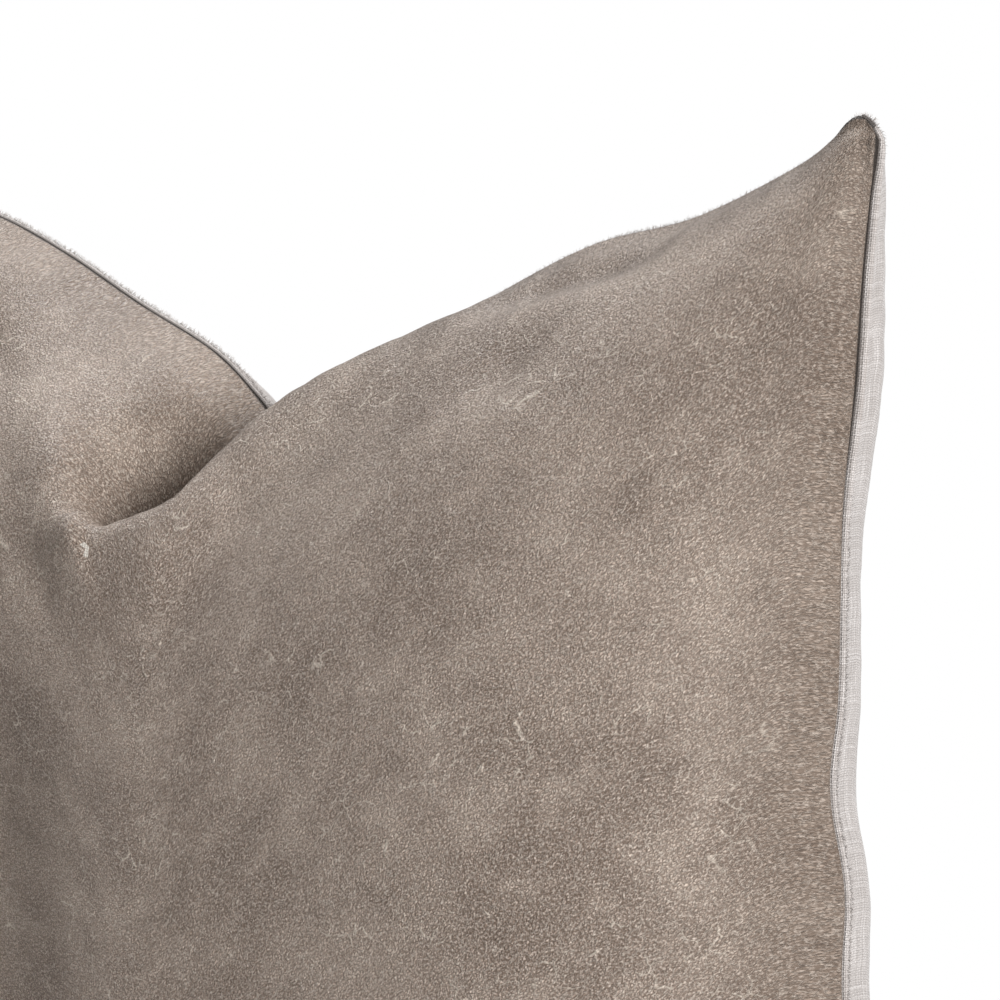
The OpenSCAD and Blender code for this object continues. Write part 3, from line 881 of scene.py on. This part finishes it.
def stitch_row(name, node, pitch=STITCH):
    """A straight row of stitches that fills a CAD node's box."""
    low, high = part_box(node)
    y, z = (low.y + high.y) / 2, (low.z + high.z) / 2
    x = np.arange(low.x + 0.0004, high.x - pitch, pitch)
    starts = np.stack([x, 0 * x + y, 0 * x + z], 1)
    return capsules(name, starts, starts + (pitch * 0.8, 0, 0), 0.0002)


def bar_tack(name, node):
    """A dense block of zigzag stitches across the end of the zip."""
    low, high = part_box(node)
    count = 26
    y = np.linspace(low.y + 0.0003, high.y - 0.0003, count)
    zig = np.where(np.arange(count) % 2 == 0, low.x + 0.0003, high.x - 0.0003)
    line = np.stack([zig, y, 0 * y + (low.z + high.z) / 2], 1)
    return capsules(name, line[:-1], line[1:], 0.00026)


def care_label():
    """A blank satin label with folded ends, lying on the zip tape."""
    low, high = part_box("care_label")
    columns, rows = 64, 16
    v, u = np.meshgrid(np.linspace(0, 1, rows + 1), np.linspace(0, 1, columns + 1), indexing="ij")
    hem = 0.00016 * (np.abs(u - 0.5) > 0.44)
    wave = 0.00008 * np.sin(u * 11) * np.sin(v * 4)
    x = low.x + (high.x - low.x) * u
    y = low.y + (high.y - low.y) * v
    top = np.stack([x, y, high.z - 0.0002 + hem + wave * 0.4], -1)
    under = np.stack([x, y, 0 * x + low.z + 0.00005], -1)
    return closed_pair("blank_label", top, under, False)


def place(piece, material, slot, *nodes, body="cushion"):
    """Dresses a piece, rides it on its body and hides the CAD nodes it stands for."""
    piece.data.materials.append(material)
    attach(piece, body)
    if nodes:
        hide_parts(*nodes)
    return piece


# ---------------------------------------------------------------- the pillow

front_grid = cover_face(-1)
back_grid = cover_face(1)

leather = leather_material()
linen = linen_material()
brown_thread = thread_material("brown_thread", shade(112, 98, 88), shade(74, 63, 56))
pale_thread = thread_material("pale_thread", shade(214, 208, 200), shade(170, 163, 154))
tape_cloth = woven_material("zip_tape_twill", 0.0006, shade(136, 123, 113), shade(96, 85, 77), 0.75, 1.0)
ticking = woven_material("cotton_ticking", 0.0005, shade(228, 226, 220), shade(190, 187, 180))
knit = woven_material("knit_back", 0.0009, shade(190, 184, 176), shade(132, 126, 118), 0.9, 0.4, 0.0002)
satin = woven_material("label_satin", 0.0004, shade(236, 235, 232), shade(206, 204, 200), 0.45)
nickel = metal_material()
nylon = nylon_material()

leather_front = place(sewn_panel("leather_front", front_grid, -1, LEATHER, 0), leather, "leather",
                      "front_panel")
linen_back = place(sewn_panel("linen_back", back_grid, 1, LINEN, LINEN_LIP), linen, "linen", "back_panel")

bonded = (front_grid - grid_normals(front_grid, -1) * (LEATHER + 0.0001))[2:-2:2, 2:-2:2]
backing = place(closed_sheet("knit_backing", bonded, -1, KNIT), knit, "knit_backing", "front_backing")

place(seam_stitches(front_grid), brown_thread, "seam_thread", "seam_thread")
place(overlock_loops(front_grid), pale_thread, "pale_thread", "overlock_thread")
place(linen_fuzz(front_grid), linen, "linen")

for side, word, grid in ((-1, "front", front_grid), (1, "back", back_grid)):
    half = closed_sheet("ticking_" + word, insert_grid(grid, side, INSERT_GAP), side, TICKING)
    place(half, ticking, "ticking", "insert_" + word)
    place(tape("tape_" + word, "zip_tape_" + word), tape_cloth, "zip_tape", "zip_tape_" + word)
    place(coil("coil_" + word, "zip_coil_" + word), nylon, "zip_nylon", "zip_coil_" + word)
    place(stitch_row("tape_stitches_" + word, "zip_stitch_" + word), brown_thread, "seam_thread",
          "zip_stitch_" + word)
for word in ("left", "right"):
    place(bar_tack("bar_tack_" + word, "end_tack_" + word), brown_thread, "seam_thread", "end_tack_" + word)

inner_faces = [insert_grid(front_grid, -1, FILL_GAP), insert_grid(back_grid, 1, FILL_GAP)]
fill = place(closed_pair("fibre_fill", *inner_faces, False), fibre_material(), "fill", "fill")
place(insert_stitches(inner_faces[0]), pale_thread, "pale_thread", "insert_seam_thread")

label = place(care_label(), satin, "label", "care_label")
place(stitch_row("label_stitches", "label_stitch", 0.0024), pale_thread, "pale_thread", "label_stitch")

for node in ("zip_stop_front", "zip_stop_back", "zip_bottom_stop", "zip_slider", "pull_tab"):
    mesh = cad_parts[node].data
    mesh.materials.clear()
    mesh.materials.append(nickel)

# ---------------------------------------------------------------- stage, light and camera

FLOOR_HALF = 4
FLOOR_Z = -0.0005
corners = [(x * FLOOR_HALF, y * FLOOR_HALF, FLOOR_Z) for x, y in ((-1, -1), (1, -1), (1, 1), (-1, 1))]
floor = add_object("floor", corners, [(0, 1, 2, 3)])
floor_shader = Shader("pale_floor")
floor.data.materials.append(floor_shader.finish(Base_Color=(0.5, 0.5, 0.5, 1), Roughness=0.8))

SKY_LIGHT = 0.25
world = bpy.data.worlds.new("studio")
bpy.context.scene.world = world
world.use_nodes = True
plain = world.node_tree.nodes["Background"]
plain.inputs["Color"].default_value = (1, 1, 1, 1)
rays = world.node_tree.nodes.new("ShaderNodeLightPath")
level = world.node_tree.nodes.new("ShaderNodeMapRange")
level.inputs["To Min"].default_value = SKY_LIGHT
level.inputs["To Max"].default_value = 1.0
world.node_tree.links.new(rays.outputs["Is Camera Ray"], level.inputs["Value"])
world.node_tree.links.new(level.outputs["Result"], plain.inputs["Strength"])
bpy.context.scene.view_settings.view_transform = "Standard"


def soft_sun(name, energy, spread, towards):
    """A broad soft light that shines along a direction."""
    lamp = bpy.data.lights.new(name, "SUN")
    lamp.energy = energy
    lamp.angle = math.radians(spread)
    holder = bpy.data.objects.new(name, lamp)
    holder.rotation_euler = Vector(towards).to_track_quat("-Z", "Y").to_euler()
    bpy.context.scene.collection.objects.link(holder)


soft_sun("side", 4.9, 26, (-0.9, 0.38, -0.2))
soft_sun("overhead", 3.9, 36, (0.36, -0.22, -0.9))

AZIMUTH = math.radians(36)
CAMERA_FAR = 1.8
camera_data = bpy.data.cameras.new("camera")
camera_data.sensor_width = 36
camera_data.lens = 196.4
camera = bpy.data.objects.new("camera", camera_data)
camera.location = (CAMERA_FAR * math.sin(AZIMUTH), -CAMERA_FAR * math.cos(AZIMUTH), 0.25)
aim = Vector((0.066 * math.cos(AZIMUTH), 0.066 * math.sin(AZIMUTH), 0.3592))
camera.rotation_euler = (aim - camera.location).to_track_quat("-Z", "Y").to_euler()
bpy.context.scene.collection.objects.link(camera)
bpy.context.scene.camera = camera
